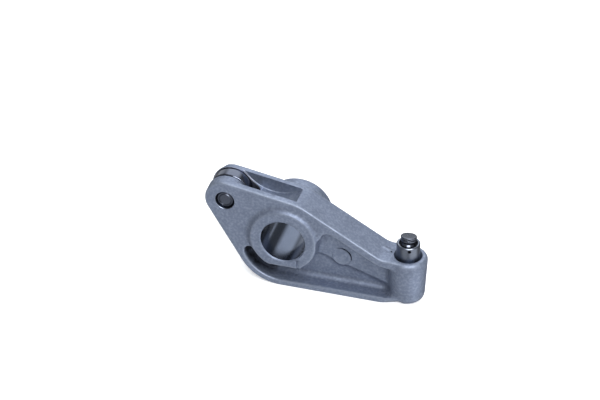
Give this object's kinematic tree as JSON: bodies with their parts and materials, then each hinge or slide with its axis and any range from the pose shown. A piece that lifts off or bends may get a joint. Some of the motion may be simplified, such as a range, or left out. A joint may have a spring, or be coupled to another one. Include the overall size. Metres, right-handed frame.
{
  "type": "roller rocker arm",
  "caption": "Cast rocker arm with a shaft bore, a needle-bearing cam roller, and a hydraulic adjuster carrying a swivel foot.",
  "frame": {"origin": "on the shaft bore's axis, at the arm's mid-plane", "axes": "+X towards the adjuster, +Y along the bore towards the long end of the boss, +Z the way the foot faces"},
  "size_m": [0.0983, 0.0287, 0.0497],
  "materials": {
    "casting": "fine blasted die casting, bore machined smooth",
    "pin_steel": "dark hardened, matt ends",
    "bearing_steel": "ground and polished",
    "sleeve_steel": "ground",
    "plunger_steel": "ground",
    "foot_steel": "ground face, dark turned sides",
    "spring_steel": "drawn wire",
    "sheet_steel": "pressed sheet"
  },
  "bodies": {
    "arm": {"rocker_body": "casting", "roller_pin": "pin_steel", "adjuster_sleeve": "sleeve_steel", "support_disc": "sheet_steel", "snap_ring": "spring_steel", "return_spring": "spring_steel"},
    "roller": {"roller_ring": "bearing_steel"},
    "needles": {"needle_01": "bearing_steel", "needle_02": "bearing_steel", "needle_03": "bearing_steel", "needle_04": "bearing_steel", "needle_05": "bearing_steel", "needle_06": "bearing_steel", "needle_07": "bearing_steel", "needle_08": "bearing_steel", "needle_09": "bearing_steel", "needle_10": "bearing_steel", "needle_11": "bearing_steel", "needle_12": "bearing_steel", "needle_13": "bearing_steel", "needle_14": "bearing_steel", "needle_15": "bearing_steel", "needle_16": "bearing_steel"},
    "plunger": {"ball_plunger": "plunger_steel", "valve_plunger": "plunger_steel", "check_cage": "sheet_steel", "check_spring": "spring_steel"},
    "valve_ball": {"check_ball": "bearing_steel"},
    "foot": {"swivel_foot": "foot_steel"}
  },
  "joints": [
    {"name": "roller_spin", "type": "hinge", "parent": "arm", "child": "roller", "pos_m": [-0.0265, 0, 0.0155], "axis": [0, 1, 0], "continuous": true},
    {"name": "needle_orbit", "type": "hinge", "parent": "arm", "child": "needles", "pos_m": [-0.0265, 0, 0.0155], "axis": [0, 1, 0], "continuous": true},
    {"name": "plunger_slide", "type": "slide", "parent": "arm", "child": "plunger", "axis": [0, 0, 1], "range_m": [-0.003, 0], "stiffness_N_per_m": 4000, "springref_m": 0.002, "deforming": ["return_spring"]},
    {"name": "check_ball_lift", "type": "slide", "parent": "plunger", "child": "valve_ball", "axis": [0, 0, -1], "range_m": [0, 0.00022], "stiffness_N_per_m": 200, "springref_m": -0.0005, "deforming": ["check_spring"]},
    {"name": "foot_swivel", "type": "hinge", "parent": "plunger", "child": "foot", "pos_m": [0.054, 0, 0.00525], "axis": [1, 0, 0], "range_deg": [0, 26]}
  ],
  "couplings": [
    {"joint": "needle_orbit", "follows": "roller_spin", "ratio": 0.5955}
  ]
}
